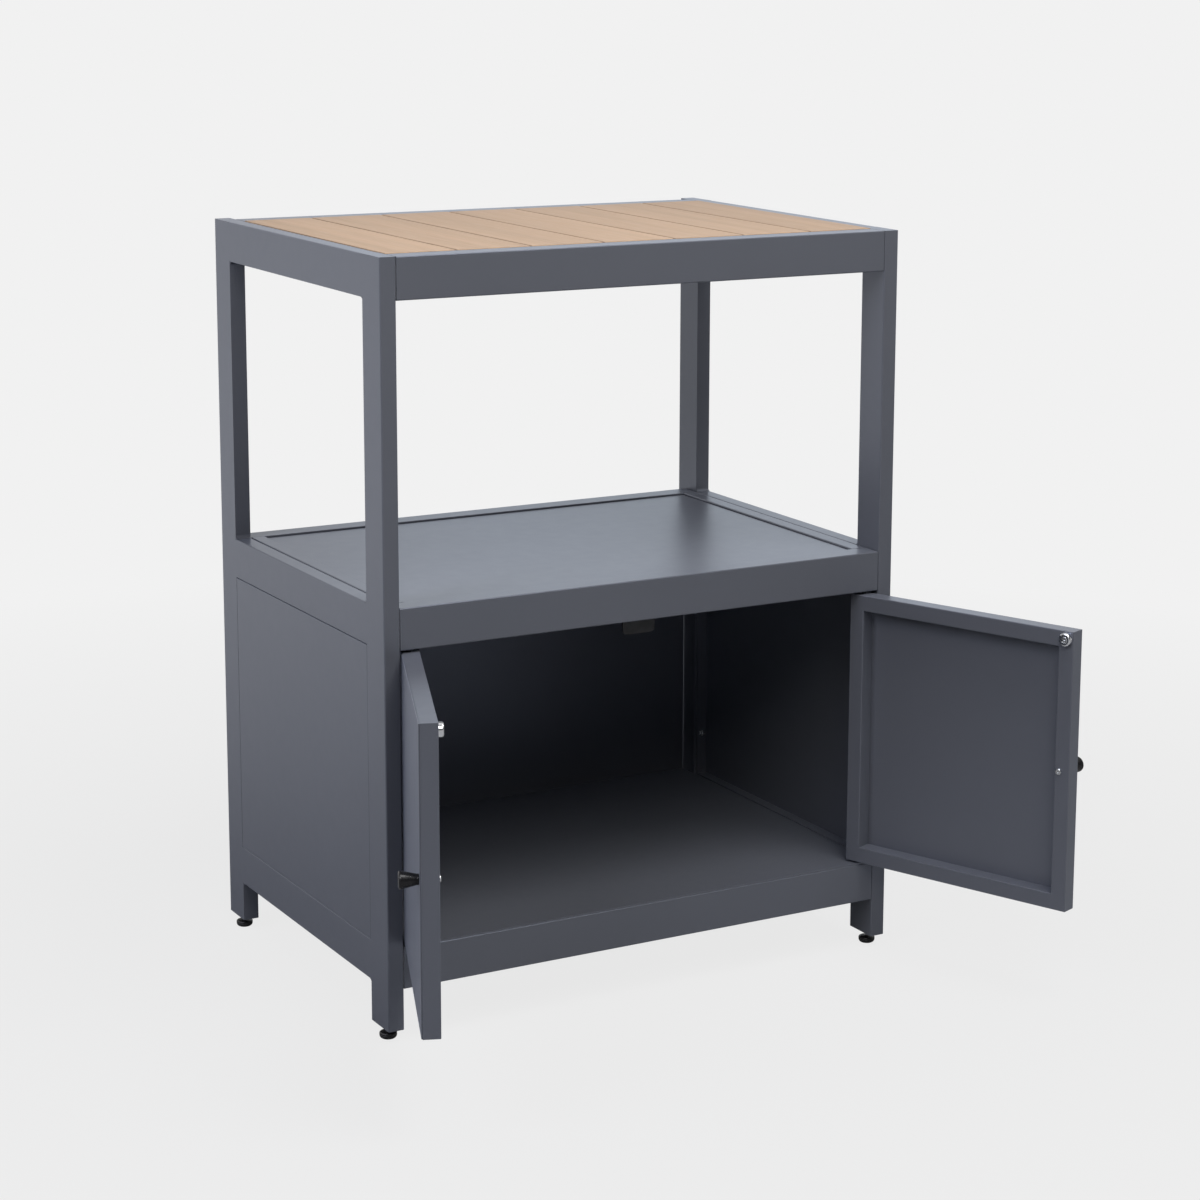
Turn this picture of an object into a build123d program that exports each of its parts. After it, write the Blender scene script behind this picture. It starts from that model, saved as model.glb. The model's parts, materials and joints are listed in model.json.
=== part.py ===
from build123d import *
import os

os.makedirs("parts", exist_ok=True)

# Outdoor kitchen cabinet, millimetres.
# The origin is on the floor under the middle of the cabinet.
# X runs to the right seen from the front, Y runs to the back, Z runs up.

# Overall sizes
width = 700.0
depth = 500.0
foot_gap = 16.0
post_length = 912.0

# Tubes of the frame
post_x = 20.0
post_y = 48.0
rail_height = 50.0
rail_depth = 30.0
wall = 2.0
edge_radius = 1.5
leg_length = 50.0
shelf_height = 524.0
rail_end_gap = 0.8
weld_radius = 5.0
weld_inset = 0.4

# Sheet parts
sheet = 1.5
floor_sheet = 2.0
panel_gap = 0.4
panel_edge = 0.6
tray_flange = 16.0
shelf_gap = 1.6
shelf_front_gap = 0.6
shelf_left_gap = 2.0
shelf_right_gap = 0.4
shelf_recess = 2.0
shelf_rail_x = 20.0
shelf_rail_z = 30.0
ledge_width = 15.0
ledge_sheet = 3.0

# Slats of the top
slat_count = 7
slat_trim = 14.0
slat_gap = 3.0
slat_thickness = 18.0
slat_rise = 0.8
slat_end_gap = 1.0
slat_edge = 0.8
slat_ledge_leg = 20.0
slat_ledge_reach = 24.0
slat_ledge_end_gap = 13.0

# Doors
door_side_gap = 3.5
door_centre_gap = 4.4
door_top_gap = 3.5
door_bottom_gap = 2.5
door_tube = 20.0
door_wall = 1.5
door_skin = 1.5
door_skin_inset = 0.4
door_seam = 0.5
door_edge = 1.0
pivot_from_post = 15.0
pivot_from_front = 9.0
open_angle = 111.5

# Pivot hardware
pin_radius = 3.0
pin_reach = 10.0
pin_depth_in_door = 18.0
running_clearance = 0.05
bush_radius = 5.0
bush_flange_radius = 6.5
bush_flange = 1.5
bush_length = 12.0
bush_pocket = 0.5
block_clearance = 0.2

# Knob, magnet and catch
knob_from_edge = 14.5
knob_length = 22.0
knob_base_radius = 6.2
knob_tip_radius = 10.0
knob_screw_radius = 2.0
knob_screw_bite = 12.0
magnet_from_edge = 9.5
magnet_from_top = 9.8
magnet_radius = 8.2
magnet_edge = 2.0
magnet_to_plate = 0.5
catch_width = 44.0
catch_below = 23.0
catch_above = 26.0
catch_sheet = 2.5
catch_corner = 6.0
catch_step = 2.0
catch_clearance = 0.5

# Screws
screw_radius = 2.0
screw_head_radius = 4.0
screw_head = 2.2
screw_length = 10.0
clear_hole = 0.25
lock_radius = 3.0
lock_head_radius = 5.0
lock_head = 3.0
lock_length = 14.0
lock_drop = 15.0
spigot_length = 30.0
spigot_clearance = 0.2
lock_from_post = 12.0
back_screw_from_post = 60.0

# Levelling feet
pad_radius = 10.5
pad_height = 9.0
pad_top_radius = 8.0
pad_round = 4.5
pad_socket = 3.5
stem_radius = 3.0
stem_above = 32.0
insert_length = 20.0
insert_clearance = 0.2

# Derived planes
half_w = width / 2
inner_x = half_w - post_x
front_y = -depth / 2
back_y = depth / 2
front_in = front_y + post_y
rear_in = back_y - post_y
front_rail_back = front_y + rail_depth
rear_rail_back = rear_in + rail_depth
top_z = foot_gap + post_length
bottom_rail_z = foot_gap + leg_length
floor_rail_top = bottom_rail_z + rail_height
floor_top = floor_rail_top + floor_sheet
shelf_under = shelf_height - rail_height
top_rail_z = top_z - rail_height
door_low = floor_top + door_bottom_gap
door_high = shelf_under - door_top_gap
door_width = inner_x - door_side_gap - door_centre_gap / 2
door_thick = door_tube + door_skin
pivot_x = inner_x - pivot_from_post
pivot_y = front_y + pivot_from_front
door_inner_y = front_y + door_thick
tube_y = front_y + door_skin
door_hinge_x = inner_x - door_side_gap
door_free_x = door_hinge_x - door_width
foot_x = half_w - post_x / 2
foot_y = depth / 2 - post_y / 2


def block(x0, x1, y0, y1, z0, z1):
    """Box between two corners."""
    size = Box(abs(x1 - x0), abs(y1 - y0), abs(z1 - z0))
    return Pos((x0 + x1) / 2, (y0 + y1) / 2, (z0 + z1) / 2) * size


def rounded_block(x0, x1, y0, y1, z0, z1, axis, radius):
    """Box with its four edges along one axis rounded."""
    body = block(x0, x1, y0, y1, z0, z1)
    return fillet(body.edges().filter_by(axis), radius)


def hole(at, out, radius, length):
    """Cylinder that runs from a point against the direction out."""
    place = Plane(origin=at, z_dir=out)
    return place * Cylinder(radius, length, align=(Align.CENTER, Align.CENTER, Align.MAX))


def disc(at, out, radius, length):
    """Cylinder that runs from a point along the direction out."""
    place = Plane(origin=at, z_dir=out)
    return place * Cylinder(radius, length, align=(Align.CENTER, Align.CENTER, Align.MIN))


def screw(at, out, radius, length, head_radius, head_height):
    """Button head screw whose head seats at a point and faces out."""
    head = disc(at, out, head_radius, head_height)
    rim = head.edges().filter_by(GeomType.CIRCLE).sort_by(SortBy.DISTANCE)
    top_rim = max(rim, key=lambda e: e.center().dot(Vector(*out)))
    head = fillet(top_rim, head_height * 0.55)
    place = Plane(origin=Vector(*at) + Vector(*out) * head_height, z_dir=out)
    socket = place * extrude(RegularPolygon(radius * 0.75, 6), -head_height * 0.6)
    return head - socket + hole(at, out, radius, length)


def mirrored(shape):
    """Same piece on the other side of the cabinet."""
    return mirror(shape, about=Plane.YZ)


def both(shape):
    """A piece and its mirror image."""
    return [shape, mirrored(shape)]


def save(shape, name):
    """Write one node, or a group of separate solids as one node."""
    if isinstance(shape, list):
        solids = []
        for one in shape:
            solids.extend(one.solids())
        shape = Compound(solids)
    export_step(shape, "parts/" + name + ".step")


# Left side frame: two posts and three rails, welded and ground flush

def post(y0, y1, outer_y):
    """Left post with a closed top, rounded on its two free edges."""
    body = block(-half_w, -inner_x, y0, y1, foot_gap, top_z)
    free = [e for e in body.edges().filter_by(Axis.Z) if abs(e.center().Y - outer_y) < 0.01]
    body = fillet(free, edge_radius)
    core = block(-half_w + wall, -inner_x - wall, y0 + wall, y1 - wall, foot_gap, top_z - wall)
    return body - core


def side_rail(z0, z1, weld_above, weld_below):
    """Left rail between the posts, with small weld fillets in its corners."""
    body = rounded_block(-half_w, -inner_x, front_in, rear_in, z0, z1, Axis.Y, edge_radius)
    body -= block(-half_w + wall, -inner_x - wall, front_in, rear_in, z0 + wall, z1 - wall)
    for wanted, z, step in ((weld_above, z1, 1), (weld_below, z0, -1)):
        if not wanted:
            continue
        for y, turn in ((front_in, 1), (rear_in, -1)):
            corner = block(
                -half_w + weld_inset, -inner_x - weld_inset,
                y, y + turn * weld_radius, z, z + step * weld_radius,
            )
            centre = (0, y + turn * weld_radius, z + step * weld_radius)
            round_off = Plane(origin=centre, z_dir=(1, 0, 0)) * Cylinder(weld_radius, width)
            body += corner - round_off
    return body


left_front_post = post(front_y, front_in, front_y)
left_rear_post = post(rear_in, back_y, back_y)
left_top_rail = side_rail(top_rail_z, top_z, False, True)
left_mid_rail = side_rail(shelf_under, shelf_height, True, False)
left_bottom_rail = side_rail(bottom_rail_z, floor_rail_top, False, True)

# Left side panel: a folded tray that fills the lower window of the frame
panel_y0 = front_in + panel_gap
panel_y1 = rear_in - panel_gap
panel_z0 = floor_rail_top + panel_gap
panel_z1 = shelf_under - panel_gap
tray_in = -half_w + tray_flange
left_side_panel = block(-half_w, tray_in, panel_y0, panel_y1, panel_z0, panel_z1)
left_side_panel = fillet(left_side_panel.faces().sort_by(Axis.X)[0].edges(), panel_edge)
left_side_panel -= block(
    -half_w + sheet, tray_in, panel_y0 + sheet, panel_y1 - sheet, panel_z0 + sheet, panel_z1 - sheet,
)

# Screws that hold the tray flanges to the posts
body_screws = []
flange_x = -half_w + tray_flange / 2 + 1
for y, turn in ((panel_y0 + sheet, 1), (panel_y1 - sheet, -1)):
    for z in (floor_rail_top + 60, shelf_under - 60):
        seat = (flange_x, y, z)
        out = (0, turn, 0)
        cut = hole(seat, out, screw_radius, screw_length)
        left_side_panel -= cut
        left_front_post -= cut
        left_rear_post -= cut
        body_screws += both(screw(seat, out, screw_radius, screw_length, screw_head_radius, screw_head))

# Threaded plug in the foot of each post
plug_x = post_x / 2 - wall - insert_clearance
plug_y = post_y / 2 - wall - insert_clearance


def at_feet(shape):
    """Four copies of a piece drawn at the middle of a foot."""
    spots = []
    for sx in (-1, 1):
        for sy in (-1, 1):
            spots.append(Pos(sx * foot_x, sy * foot_y, 0) * shape)
    return spots


plug = block(-plug_x, plug_x, -plug_y, plug_y, foot_gap, foot_gap + insert_length)
plug -= hole((0, 0, foot_gap + insert_length), (0, 0, 1), stem_radius + running_clearance, insert_length)
foot_inserts = at_feet(plug)

# Levelling feet: a pad with a rounded sole and a threaded stem
pad_profile = [
    (0, 0), (pad_radius, 0), (pad_radius, pad_height - 2),
    (pad_radius - 1.0, pad_height - 1.0), (pad_top_radius, pad_height - 0.6),
    (stem_radius + 1.5, pad_height), (0, pad_height),
]
pad = revolve(make_face(Plane.XZ * Polyline(*pad_profile, close=True)), Axis.Z)
pad = fillet(pad.edges().filter_by(GeomType.CIRCLE).sort_by(Axis.Z)[0], pad_round)
pad -= hole((0, 0, pad_height), (0, 0, 1), stem_radius, pad_socket)
stem_top = foot_gap + stem_above
stem = disc((0, 0, pad_height - pad_socket), (0, 0, 1), stem_radius, stem_top - pad_height + pad_socket)
stem = chamfer(stem.edges().filter_by(GeomType.CIRCLE).sort_by(Axis.Z)[-1], 0.8)
pads = at_feet(pad)
stems = at_feet(stem)
corner_names = ("left_front", "left_rear", "right_front", "right_rear")

# Rails across the cabinet, with spigots in their ends and lock screws

rail_half = inner_x - rail_end_gap


def cross_rail(y0, y1, z0, z1):
    """Tube between the two side frames."""
    body = rounded_block(-rail_half, rail_half, y0, y1, z0, z1, Axis.X, edge_radius)
    return body - block(-rail_half, rail_half, y0 + wall, y1 - wall, z0 + wall, z1 - wall)


front_span = (front_y, front_rail_back)
rear_span = (rear_in, rear_rail_back)
rail_places = {
    "top_front_rail": (front_span, (top_rail_z, top_z), 1),
    "top_rear_rail": (rear_span, (top_rail_z, top_z), -1),
    "shelf_front_rail": (front_span, (shelf_under, shelf_height), 1),
    "shelf_rear_rail": (rear_span, (shelf_under, shelf_height), -1),
    "floor_front_rail": (front_span, (bottom_rail_z, floor_rail_top), 1),
    "floor_rear_rail": (rear_span, (bottom_rail_z, floor_rail_top), -1),
}
up = (0, 0, 1)
down = (0, 0, -1)
pocket_radius = bush_radius + bush_pocket
pocket_length = bush_length + bush_pocket
upper_pocket = hole((pivot_x, pivot_y, shelf_under), down, pocket_radius, pocket_length)
lower_pocket = hole((pivot_x, pivot_y, floor_rail_top), up, pocket_radius, pocket_length)
cross_rails = {}
rail_spigots = []
rail_lock_screws = []
inset = wall + spigot_clearance
for name, ((y0, y1), (z0, z1), out_y) in rail_places.items():
    rail = cross_rail(y0, y1, z0, z1)
    spigot = block(inner_x - spigot_length, inner_x, y0 + inset, y1 - inset, z0 + inset, z1 - inset)
    seat_y = y1 if out_y > 0 else y0
    seat = (inner_x - lock_from_post, seat_y, (z0 + z1) / 2 - lock_drop)
    out = (0, out_y, 0)
    rail -= hole(seat, out, lock_radius + clear_hole, wall * 2)
    rail -= mirrored(hole(seat, out, lock_radius + clear_hole, wall * 2))
    spigot -= hole(seat, out, lock_radius, lock_length)
    spigot -= upper_pocket
    spigot -= lower_pocket
    cross_rails[name] = rail
    rail_spigots += both(spigot)
    rail_lock_screws += both(screw(seat, out, lock_radius, lock_length, lock_head_radius, lock_head))

# Slats of the top and the two angles that carry them
slat_top = top_z + slat_rise
slat_under = slat_top - slat_thickness
slat_y0 = front_rail_back + slat_end_gap
slat_y1 = rear_in - slat_end_gap
slat_limit = inner_x - slat_end_gap
slat_pitch = (2 * slat_limit + slat_trim) / slat_count
slat_ledge_half = inner_x - lock_from_post - lock_head_radius - slat_ledge_end_gap
front_ledge = block(
    -slat_ledge_half, slat_ledge_half, front_rail_back, front_rail_back + wall,
    slat_under - slat_ledge_leg, slat_under,
)
front_ledge += block(
    -slat_ledge_half, slat_ledge_half, front_rail_back, front_rail_back + slat_ledge_reach,
    slat_under - wall, slat_under,
)
rear_ledge = block(
    -slat_ledge_half, slat_ledge_half, rear_in - wall, rear_in,
    slat_under - slat_ledge_leg, slat_under,
)
rear_ledge += block(
    -slat_ledge_half, slat_ledge_half, rear_in - slat_ledge_reach, rear_in,
    slat_under - wall, slat_under,
)
slats = []
for number in range(slat_count):
    middle = (number - (slat_count - 1) / 2) * slat_pitch
    x0 = max(middle - slat_pitch / 2 + slat_gap / 2, -slat_limit)
    x1 = min(middle + slat_pitch / 2 - slat_gap / 2, slat_limit)
    slat = block(x0, x1, slat_y0, slat_y1, slat_under, slat_top)
    slat = fillet(slat.faces().sort_by(Axis.Z)[-1].edges(), slat_edge)
    x = (x0 + x1) / 2
    for y in (front_rail_back + slat_ledge_reach - 8, rear_in - slat_ledge_reach + 8):
        seat = (x, y, slat_under - wall)
        out = (0, 0, -1)
        slat -= hole(seat, out, screw_radius, screw_length)
        front_ledge -= hole(seat, out, screw_radius, screw_length)
        rear_ledge -= hole(seat, out, screw_radius, screw_length)
        body_screws.append(screw(seat, out, screw_radius, screw_length, screw_head_radius, screw_head))
    slats.append(slat)

# Shelf: two inner rails, four ledges and a folded sheet set slightly low


def shelf_rail(gap):
    """Right inner rail of the shelf, standing off the side frame by a gap."""
    outer = inner_x - gap
    body = rounded_block(
        inner_x - shelf_rail_x, outer, front_rail_back, rear_in,
        shelf_height - shelf_rail_z, shelf_height, Axis.Y, edge_radius,
    )
    return body - block(
        inner_x - shelf_rail_x + wall, outer - wall, front_rail_back, rear_in,
        shelf_height - shelf_rail_z + wall, shelf_height - wall,
    )


shelf_side_rails = [shelf_rail(shelf_right_gap), mirrored(shelf_rail(shelf_left_gap))]
shelf_edge_x = inner_x - shelf_rail_x
sheet_x = shelf_edge_x - shelf_gap
sheet_y0 = front_rail_back + shelf_front_gap
sheet_y1 = rear_in - shelf_gap
sheet_top = shelf_height - shelf_recess
sheet_low = sheet_top - tray_flange
shelf_panel = block(-sheet_x, sheet_x, sheet_y0, sheet_y1, sheet_low, sheet_top)
shelf_panel = fillet(shelf_panel.faces().sort_by(Axis.Z)[-1].edges(), edge_radius)
shelf_panel -= block(
    -sheet_x + sheet, sheet_x - sheet, sheet_y0 + sheet, sheet_y1 - sheet, sheet_low, sheet_top - sheet,
)
side_ledge = block(
    shelf_edge_x - ledge_width, shelf_edge_x, front_rail_back, rear_in, sheet_low - ledge_sheet, sheet_low,
)
ledge_half = shelf_edge_x - ledge_width
shelf_ledges = both(side_ledge)
shelf_ledges.append(block(
    -ledge_half, ledge_half, front_rail_back, front_rail_back + ledge_width,
    sheet_low - ledge_sheet, sheet_low,
))
shelf_ledges.append(block(
    -ledge_half, ledge_half, rear_in - ledge_width, rear_in, sheet_low - ledge_sheet, sheet_low,
))

# Floor sheet of the cupboard and its back sheet
floor_half = inner_x - rail_end_gap
floor_panel = block(-floor_half, floor_half, front_y + 0.5, rear_rail_back, floor_rail_top, floor_top)
back_low = bottom_rail_z + 4
back_high = shelf_height - 4
back_panel = block(
    -floor_half, floor_half, rear_rail_back, rear_rail_back + sheet, back_low, back_high,
)
back_screw_x = inner_x - back_screw_from_post
for x in (-back_screw_x, -back_screw_x / 3, back_screw_x / 3, back_screw_x):
    for z, rail_name in (
        ((shelf_under + shelf_height) / 2, "shelf_rear_rail"),
        ((bottom_rail_z + floor_rail_top) / 2, "floor_rear_rail"),
    ):
        seat = (x, rear_rail_back + sheet, z)
        out = (0, 1, 0)
        cut = hole(seat, out, screw_radius, screw_length)
        back_panel -= cut
        cross_rails[rail_name] -= cut
        body_screws.append(screw(seat, out, screw_radius, screw_length, screw_head_radius, screw_head))

# Catch plate behind the shelf's front rail, stepped forward below it to meet the magnets
catch_face = front_rail_back - catch_step
catch_plate = block(
    -catch_width / 2, catch_width / 2, front_rail_back, front_rail_back + catch_sheet,
    shelf_under - catch_clearance - catch_sheet, shelf_under + catch_above,
)
catch_plate += block(
    -catch_width / 2, catch_width / 2, catch_face, catch_face + catch_sheet,
    shelf_under - catch_below, shelf_under - catch_clearance,
)
low_edge = shelf_under - catch_below
low_corners = [e for e in catch_plate.edges().filter_by(Axis.Y) if e.center().Z < low_edge + 0.01]
catch_plate = fillet(low_corners, catch_corner)
for x in (-catch_width / 4, catch_width / 4):
    seat = (x, front_rail_back + catch_sheet, shelf_under + catch_above / 2)
    out = (0, 1, 0)
    cut = hole(seat, out, screw_radius, screw_length)
    catch_plate -= cut
    cross_rails["shelf_front_rail"] -= cut
    body_screws.append(screw(seat, out, screw_radius, screw_length, screw_head_radius, screw_head))

# Pivot bushes in the shelf's front rail and in the floor's, whose flanges lie within the floor sheet


def bush(seat_z, out):
    """Flanged bush of the right door, its flange facing out."""
    at = (pivot_x, pivot_y, seat_z)
    body = disc(at, out, bush_flange_radius, bush_flange)
    body += hole(at, out, bush_radius, bush_length)
    tip = (pivot_x, pivot_y, seat_z + out[2] * bush_flange)
    return body - hole(tip, out, pin_radius + running_clearance, bush_length + bush_flange)


pivot_bushes = both(bush(shelf_under, down)) + both(bush(floor_rail_top, up))
flange_room = bush_flange_radius + clear_hole
for side in (1, -1):
    upper = hole((side * pivot_x, pivot_y, shelf_under), down, bush_radius, wall * 2)
    lower = hole((side * pivot_x, pivot_y, floor_rail_top), up, bush_radius, wall * 2)
    cross_rails["shelf_front_rail"] -= upper
    cross_rails["floor_front_rail"] -= lower
    floor_panel -= hole((side * pivot_x, pivot_y, floor_top), up, flange_room, floor_sheet)

# Right door, drawn closed
frame_x0 = door_free_x
frame_x1 = door_hinge_x
mid_z = (door_low + door_high) / 2
window_x0 = frame_x0 + door_tube
window_x1 = frame_x1 - door_tube
window_z0 = door_low + door_tube
window_z1 = door_high - door_tube
ring = block(frame_x0, frame_x1, tube_y, door_inner_y, door_low, door_high)
ring -= block(window_x0, window_x1, tube_y, door_inner_y, window_z0, window_z1)
inner_face = ring.faces().filter_by(Axis.Y).sort_by(Axis.Y)[-1]
ring = fillet(inner_face.edges(), door_edge)
core = block(
    frame_x0 + door_wall, frame_x1 - door_wall, tube_y + door_wall, door_inner_y - door_wall,
    door_low + door_wall, door_high - door_wall,
)
core -= block(
    window_x0 - door_wall, window_x1 + door_wall, tube_y, door_inner_y,
    window_z0 - door_wall, window_z1 + door_wall,
)
ring -= core
knob_x = frame_x0 + knob_from_edge
magnet_x = frame_x0 + magnet_from_edge
magnet_z = door_high - magnet_from_top
inward = (0, 1, 0)
outward = (0, -1, 0)
knob_seat = (knob_x, door_inner_y, mid_z)
magnet_seat = (magnet_x, door_inner_y, magnet_z)
ring -= hole(knob_seat, inward, knob_screw_radius, door_thick)
ring -= hole(magnet_seat, inward, screw_radius, door_wall * 2)
pin_top_low = door_high - pin_depth_in_door
pin_low_high = door_low + pin_depth_in_door
for z, out in ((door_high, up), (door_low, down)):
    ring -= hole((pivot_x, pivot_y, z), out, pin_radius, pin_depth_in_door)

# The ring is cut on its mitres into two stiles and two rails


def wedge(corner_a, corner_b, push):
    """Prism that keeps one side of the mitred frame."""
    ax, az = corner_a
    bx, bz = corner_b
    px, pz = push
    dx = door_tube * (1 if bx >= ax else -1)
    dz = door_tube * (1 if bz >= az else -1)
    if px:
        points = [(ax, az), (bx, bz), (bx + px, bz - dz), (ax + px, az + dz)]
    else:
        points = [(ax, az), (bx, bz), (bx - dx, bz + pz), (ax + dx, az + pz)]
    face = make_face(Polyline(*[(x, tube_y, z) for x, z in points], close=True))
    return extrude(face, amount=door_tube, dir=(0, 1, 0))


low_free = (frame_x0, door_low)
low_hinge = (frame_x1, door_low)
high_free = (frame_x0, door_high)
high_hinge = (frame_x1, door_high)
door_frame = [
    ring & wedge(low_free, high_free, (door_tube, 0)),
    ring & wedge(low_hinge, high_hinge, (-door_tube, 0)),
    ring & wedge(low_free, low_hinge, (0, door_tube)),
    ring & wedge(high_free, high_hinge, (0, -door_tube)),
]

# Outer sheet of the door
skin = block(
    frame_x0 + door_skin_inset, frame_x1 - door_skin_inset, front_y, tube_y,
    door_low + door_skin_inset, door_high - door_skin_inset,
)
skin = fillet(skin.faces().sort_by(Axis.Y)[0].edges(), door_skin * 0.6)
skin = fillet(skin.faces().sort_by(Axis.Y)[-1].edges(), min(door_seam, door_skin * 0.35))
skin -= hole(knob_seat, inward, knob_screw_radius, door_thick + 1)

# Conical knob and the screw that holds it through the stile
knob_profile = [
    (knob_screw_radius, 0), (knob_base_radius, 0), (knob_base_radius, 2),
    (knob_tip_radius, knob_length - 3), (knob_tip_radius, knob_length - 1.5),
    (knob_tip_radius - 1.5, knob_length), (0, knob_length), (0, knob_screw_bite),
    (knob_screw_radius, knob_screw_bite),
]
knob_points = [(knob_x + r, front_y - s, mid_z) for r, s in knob_profile]
knob_face = make_face(Polyline(*knob_points, close=True))
knob = revolve(knob_face, Axis((knob_x, front_y, mid_z), (0, -1, 0)))
knob_screw = screw(
    knob_seat, inward, knob_screw_radius, door_thick + knob_screw_bite, screw_head_radius, screw_head,
)

# Round magnet on the inner face, with its screw
magnet_length = catch_face - door_inner_y - magnet_to_plate
magnet_tip = (magnet_x, door_inner_y + magnet_length, magnet_z)
magnet = disc(magnet_seat, inward, magnet_radius, magnet_length)
magnet = fillet(max(magnet.edges().filter_by(GeomType.CIRCLE), key=lambda e: e.center().Y), magnet_edge)
magnet -= hole(magnet_tip, inward, screw_head_radius + clear_hole, magnet_length / 2)
magnet -= hole(magnet_tip, inward, screw_radius, magnet_length)
magnet_screw_seat = (magnet_x, door_inner_y + magnet_length / 2, magnet_z)
magnet_screw = screw(
    magnet_screw_seat, inward, screw_radius, screw_length, screw_head_radius, screw_head,
)

# Pivot pins and the blocks that hold them inside the frame's corners
pins = [
    disc((pivot_x, pivot_y, pin_top_low), up, pin_radius, shelf_under + pin_reach - pin_top_low),
    disc((pivot_x, pivot_y, pin_low_high), down, pin_radius, pin_low_high - floor_top + pin_reach),
]
block_in = door_wall + block_clearance
pivot_blocks = []
for z0, z1 in (
    (door_low + block_in, door_low + door_tube - block_in),
    (door_high - door_tube + block_in, door_high - block_in),
):
    one = block(
        frame_x1 - door_tube + block_in, frame_x1 - block_in,
        tube_y + block_in, door_inner_y - block_in, z0, z1,
    )
    one -= hole((pivot_x, pivot_y, door_high), up, pin_radius, pin_depth_in_door)
    one -= hole((pivot_x, pivot_y, door_low), down, pin_radius, pin_depth_in_door)
    pivot_blocks.append(one)

# Both doors are exported standing open
pivot_axis = Axis((pivot_x, pivot_y, 0), (0, 0, 1))
door_pieces = {
    "door_frame": door_frame,
    "door_skin": [skin],
    "door_knob": [knob],
    "door_screws": [knob_screw, magnet_screw],
    "door_magnet": [magnet],
    "door_pivot_pins": pins,
    "door_pivot_blocks": pivot_blocks,
}
for name, pieces in door_pieces.items():
    opened = [one.rotate(pivot_axis, open_angle) for one in pieces]
    save(opened, "right_" + name)
    save([mirrored(one) for one in opened], "left_" + name)

# Nodes of the frame, the sheets and the feet
frame_nodes = {
    "front_post": left_front_post,
    "rear_post": left_rear_post,
    "top_rail": left_top_rail,
    "mid_rail": left_mid_rail,
    "bottom_rail": left_bottom_rail,
    "side_panel": left_side_panel,
}
for name, shape in frame_nodes.items():
    save(shape, "left_" + name)
    save(mirrored(shape), "right_" + name)
for name, shape in cross_rails.items():
    save(shape, name)
for number, slat in enumerate(slats, 1):
    save(slat, "slat_" + str(number))
for name, foot_pad, foot_stem in zip(corner_names, pads, stems):
    save(foot_pad, name + "_foot_pad")
    save(foot_stem, name + "_foot_stem")
save([front_ledge, rear_ledge], "slat_ledges")
save(shelf_side_rails, "shelf_side_rails")
save(shelf_panel, "shelf_panel")
save(shelf_ledges, "shelf_ledges")
save(floor_panel, "floor_panel")
save(back_panel, "back_panel")
save(catch_plate, "catch_plate")
save(pivot_bushes, "pivot_bushes")
save(foot_inserts, "foot_inserts")
save(rail_spigots, "rail_spigots")
save(rail_lock_screws, "rail_lock_screws")
save(body_screws, "body_screws")
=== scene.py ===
"""Outdoor kitchen cabinet: finishes for its solids, turned detail pieces and a plain studio."""

import json
import math

import bmesh
import bpy
from bpy.props import FloatProperty
from bpy.props import FloatVectorProperty
from bpy.props import IntProperty
from bpy.props import PointerProperty
from mathutils import Matrix
from mathutils import Vector


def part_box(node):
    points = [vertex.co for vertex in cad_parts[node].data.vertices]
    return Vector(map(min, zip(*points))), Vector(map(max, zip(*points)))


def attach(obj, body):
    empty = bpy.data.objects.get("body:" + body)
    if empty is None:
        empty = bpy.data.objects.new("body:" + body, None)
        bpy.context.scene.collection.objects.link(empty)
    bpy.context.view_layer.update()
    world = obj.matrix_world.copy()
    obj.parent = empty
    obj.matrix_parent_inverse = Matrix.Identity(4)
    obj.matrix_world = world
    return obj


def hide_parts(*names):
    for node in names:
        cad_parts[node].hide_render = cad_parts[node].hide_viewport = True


bl_info = {
    "name": "Outdoor kitchen cabinet",
    "version": (1, 0, 0),
    "blender": (4, 5, 0),
    "location": "3D View > Sidebar > Cabinet",
    "description": "Dresses the solids of an outdoor kitchen cabinet and sets a plain studio round it",
    "category": "Object",
}

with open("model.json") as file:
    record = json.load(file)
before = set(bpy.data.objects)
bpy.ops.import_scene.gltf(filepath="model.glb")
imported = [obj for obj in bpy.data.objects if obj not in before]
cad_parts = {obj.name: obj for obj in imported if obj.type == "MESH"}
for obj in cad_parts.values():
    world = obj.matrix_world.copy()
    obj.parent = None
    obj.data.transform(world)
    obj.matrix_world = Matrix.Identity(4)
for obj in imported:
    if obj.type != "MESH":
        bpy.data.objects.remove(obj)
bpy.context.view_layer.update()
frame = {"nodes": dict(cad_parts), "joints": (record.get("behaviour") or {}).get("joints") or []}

SIDES = ("left", "right")
CORNERS = ("left_front", "left_rear", "right_front", "right_rear")
SLAT_COUNT = 7
UP = Vector((0, 0, 1))

# Edges of turned pieces that bend more than this are drawn sharp
SHARP_EDGE = math.radians(38)

# The lamps: where each stands, how wide it is and how its light is tinted
LEFT_LAMP = {"place": (-3.0, -0.8, 2.6), "width": 1.8, "tint": (0.83, 0.86, 1.0)}
TOP_LAMP = {"place": (0.5, -1.5, 3.3), "width": 1.6, "tint": (1.0, 1.0, 1.0)}
FILL_LAMP = {"place": (-0.9, -2.8, 2.9), "width": 1.6, "tint": (1.0, 1.0, 1.0)}
REAR_LAMP = {"place": (2.1, 3.2, 1.7), "width": 2.1, "tint": (0.55, 0.78, 1.0)}

# The point near the middle of the cabinet that all lamps look at
LAMP_AIM = Vector((0, 0, 0.45))

# Width of the camera's sensor in millimetres
SENSOR_WIDTH = 36

# Sizes read from the solids


def door_angle():
    """Angle between the open door and its closed place, from the range of its hinge."""
    for joint in frame["joints"]:
        if joint["name"] == "right_door_swing":
            return math.radians(-joint["range_deg"][0])
    raise RuntimeError("the packed part has no right door hinge")


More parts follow.
